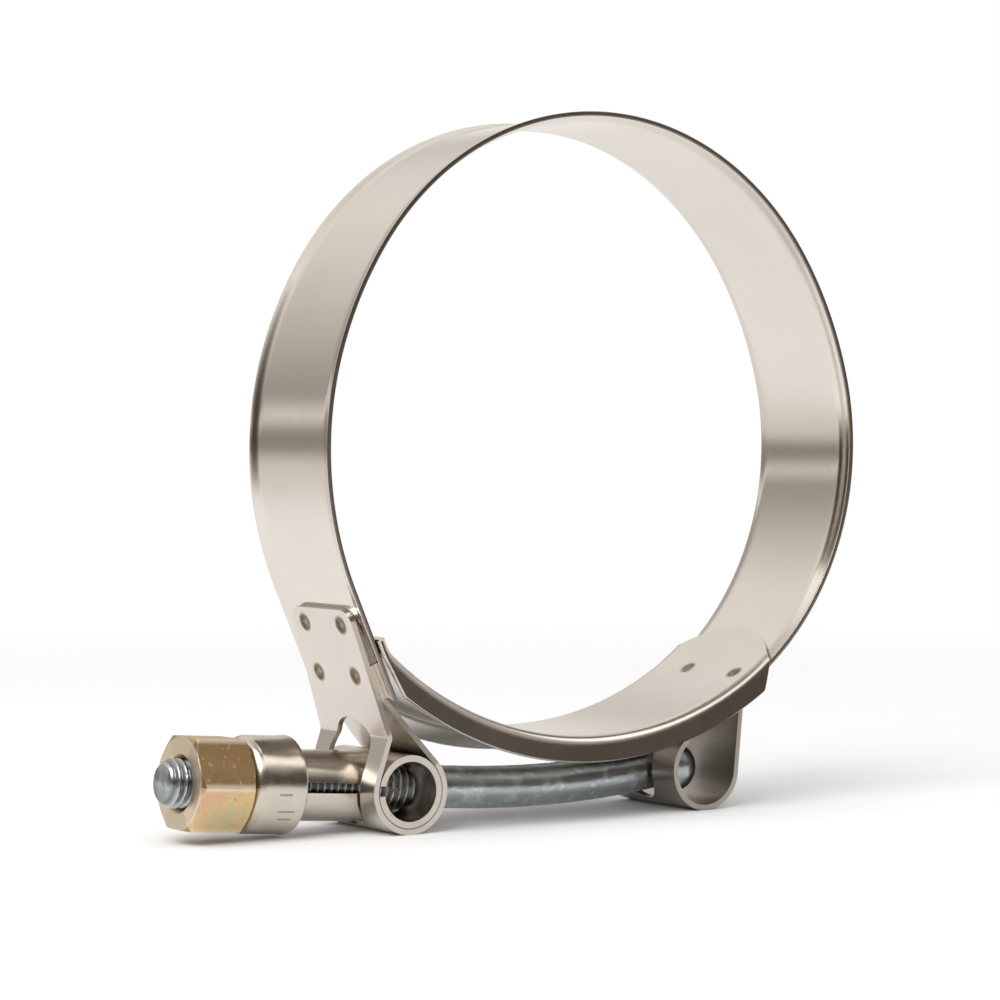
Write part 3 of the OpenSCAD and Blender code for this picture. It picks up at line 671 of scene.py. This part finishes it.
def bridgeSteel():
    # the strip steel of the bridge, a little darker, with two heat-tinted welds at the tongue
    mat, bsdf = startMaterial("bridgeSteel")
    p = objectPoint()
    along, across = attr("along"), attr("across")
    lines = noise(join(along * 0.06, across * 8.0), 6.0, 3.0)
    clouds = noise(p, 90.0, 4.0)
    tint = mixColour(clouds, (0.65, 0.60, 0.545), (0.75, 0.695, 0.635))
    burn = 0.0
    for centre in rightWelds():
        burn = near(p, centre, 0.0007, 0.0007) + burn
    ragged = (burn * (0.3 + noise(p, 1100.0, 4.0) * 1.2)).clamp()
    tint = mixColour(ragged * 0.95, tint, (0.12, 0.07, 0.035))
    rough = 0.13 + lines * 0.08 + clouds * 0.05
    feed(bsdf, Base_Color=tint, Metallic=1.0, Roughness=rough, Normal=bump(lines, 0.10, 0.00006))
    return mat


def dress(obj, mat):
    obj.data.materials.clear()
    obj.data.materials.append(mat)


def dressNode(name, mat):
    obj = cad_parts[name]
    if not obj.material_slots:
        obj.data.materials.append(mat)
    for slotItem in obj.material_slots:
        slotItem.material = mat


collarMarks = ((-97, -17.4, -15.6), (-118, -17.2, -14.9), (-129, -16.9, -15.0))      # turn, and from where to where
dress(band, rolledSteel())
dress(bridge, bridgeSteel())
dress(bolt, zincBolt())
dressNode("nut_loop", strapSteel("nutStrap", leftWelds(), 0.95, (0.74, 0.685, 0.62), (0.63, 0.58, 0.52)))
# painted shade: the leg tip in the angle between the outer leg and the band is the same steel much darker
dress(legTip, strapSteel("legTipShadedSteel", [], 0.0, (0.42, 0.38, 0.335), (0.26, 0.235, 0.205)))
# painted shade: the bolt strap is the same steel painted darker
dressNode("bolt_loop", strapSteel("boltStrapShaded", [], 0.0, (0.47, 0.43, 0.385), (0.35, 0.32, 0.285)))
dressNode("trunnion", nickelSteel("sleeveNickel"))
dress(collar, nickelSteel("collarNickel", collarMarks))
dress(nut, goldNut())
print("finishes set")


stage = dict(floorZ=-0.0501, floorR=0.9, fadeFrom=0.16, fadeTo=0.42)


def makeFloor():
    # level white sheet that fades out before its edge, so that only the object's shadow shows
    side = np.linspace(-stage["floorR"], stage["floorR"], 9) / mm
    x, y = np.meshgrid(side, side, indexing="ij")
    pts = np.stack([x, y, np.full_like(x, stage["floorZ"] / mm)], -1)
    obj = gridMesh("floorSheet", pts, wrap=False, caps=False, flip=True)
    mat = startMaterial("floorWhite")[0]
    mat.node_tree.nodes.clear()
    x, y, z = split(objectPoint())
    away = ((x * x) + (y * y)) ** 0.5
    diffuse = Sock.node("ShaderNodeBsdfDiffuse", None, Color=(0.90, 0.90, 0.90, 1))
    clear = Sock.node("ShaderNodeBsdfTransparent")
    mix = Sock.node("ShaderNodeMixShader", None, i0=away.step(stage["fadeFrom"], stage["fadeTo"]),
                    i1=Sock(diffuse.outputs[0]), i2=Sock(clear.outputs[0]))
    Sock.node("ShaderNodeOutputMaterial", None, i0=Sock(mix.outputs[0]))
    dress(obj, mat)
    return obj


def makeWorld():
    # white to the camera and to soft light; metal sees a studio: pale floor, grey horizon, bright soft boxes above
    world = bpy.data.worlds.new("studio")
    bpy.context.scene.world = world
    world.cycles.sampling_method = "NONE"      # so that every ray that reaches it is told as what it is
    world.use_nodes = True
    Sock.tree = world.node_tree
    Sock.tree.nodes.clear()
    x, y, z = split(Sock(Sock.node("ShaderNodeTexCoord").outputs["Generated"]))
    height = z * 0.5 + 0.5
    toward = x * -0.57 + y * -0.82      # to the camera's side of the room
    right = x * 0.82 + y * -0.57
    backStops = [(0.00, (0.80, 0.78, 0.75)), (0.44, (0.88, 0.86, 0.83)), (0.485, (0.78, 0.75, 0.71)),
                 (0.497, (0.28, 0.26, 0.235)), (0.535, (0.33, 0.31, 0.28)), (0.546, (0.90, 0.88, 0.85)),
                 (0.562, (0.85, 0.83, 0.80)), (0.576, (0.40, 0.38, 0.35)), (0.62, (0.47, 0.45, 0.42)),
                 (0.70, (0.70, 0.68, 0.65)), (0.78, (0.97, 0.95, 0.92)), (0.90, (0.95, 0.93, 0.90)),
                 (1.00, (0.55, 0.53, 0.50))]
    frontStops = [(0.00, (0.78, 0.74, 0.70)), (0.40, (0.66, 0.61, 0.56)), (0.465, (0.24, 0.20, 0.165)),
                  (0.50, (0.055, 0.045, 0.035)), (0.60, (0.07, 0.055, 0.045)), (0.76, (0.13, 0.11, 0.09)),
                  (0.812, (0.26, 0.23, 0.20)), (0.830, (1.40, 1.37, 1.33)), (0.935, (1.40, 1.37, 1.33)),
                  (0.955, (0.26, 0.24, 0.22)), (1.00, (0.26, 0.24, 0.22))]
    back, front = [Sock(Sock.node("ShaderNodeValToRGB", {"stops": stops}, Fac=height).outputs[0])
                   for stops in (backStops, frontStops)]
    dim = right.step(0.0, 0.4) * z.step(0.38, 0.58) * 0.88
    back = mixColour(dim, back, (0.10, 0.085, 0.07))
    lift = right.step(-0.38, -0.02) * (1.0 - z.step(0.22, 0.42)) * 0.9
    back = mixColour(lift, back, (0.96, 0.94, 0.91))
    ahead = toward.step(-0.12, 0.22).math("MAXIMUM", toward.step(-0.46, -0.26) * right.step(0.2, 0.45))
    shade = mixColour(ahead, back, front)
    path = Sock.node("ShaderNodeLightPath")
    seen = Sock(path.outputs["Is Camera Ray"])
    glossy = Sock(path.outputs["Is Glossy Ray"])
    colour = mixColour(glossy, (0.80, 0.80, 0.80), shade)
    colour = mixColour(seen, colour, (1.0, 1.0, 1.0))
    sky = Sock.node("ShaderNodeBackground", None, Color=colour, Strength=1.0)
    Sock.node("ShaderNodeOutputWorld", None, i0=Sock(sky.outputs[0]))


lamps = dict(keySoft=dict(place=(-0.42, -0.20, 0.52), size=0.60, power=3.0),
             fillSoft=dict(place=(0.45, -0.25, 0.35), size=0.60, power=0.3))


def makeLight(name, place, aim, size, power):
    data = bpy.data.lights.new(name, "AREA")
    data.shape, data.size, data.energy = "DISK", size, power
    lamp = bpy.data.objects.new(name, data)
    bpy.context.scene.collection.objects.link(lamp)
    v = np.asarray(aim, float) - np.asarray(place, float)
    lamp.location = place
    lamp.rotation_euler = (math.atan2(math.hypot(v[0], v[1]), -v[2]), 0, math.atan2(-v[0], v[1]))


view = dict(place=(-0.2304, -0.3283, -0.0014), tip=88.84, turn=-33.91, lens=111.6, sensor=36.0)


def makeCamera():
    data = bpy.data.cameras.new("photoCamera")
    data.sensor_width, data.lens = view["sensor"], view["lens"]
    data.dof.use_dof = False
    data.clip_start, data.clip_end = 0.01, 20
    cam = bpy.data.objects.new("photoCamera", data)
    bpy.context.scene.collection.objects.link(cam)
    cam.location = view["place"]
    cam.rotation_euler = (math.radians(view["tip"]), 0, math.radians(view["turn"]))
    bpy.context.scene.camera = cam


makeFloor()
makeWorld()
for name, lamp in lamps.items():
    makeLight(name, aim=(0, 0, 0), **lamp)
makeCamera()
bpy.context.scene.view_settings.view_transform = "Standard"
print("stage set")
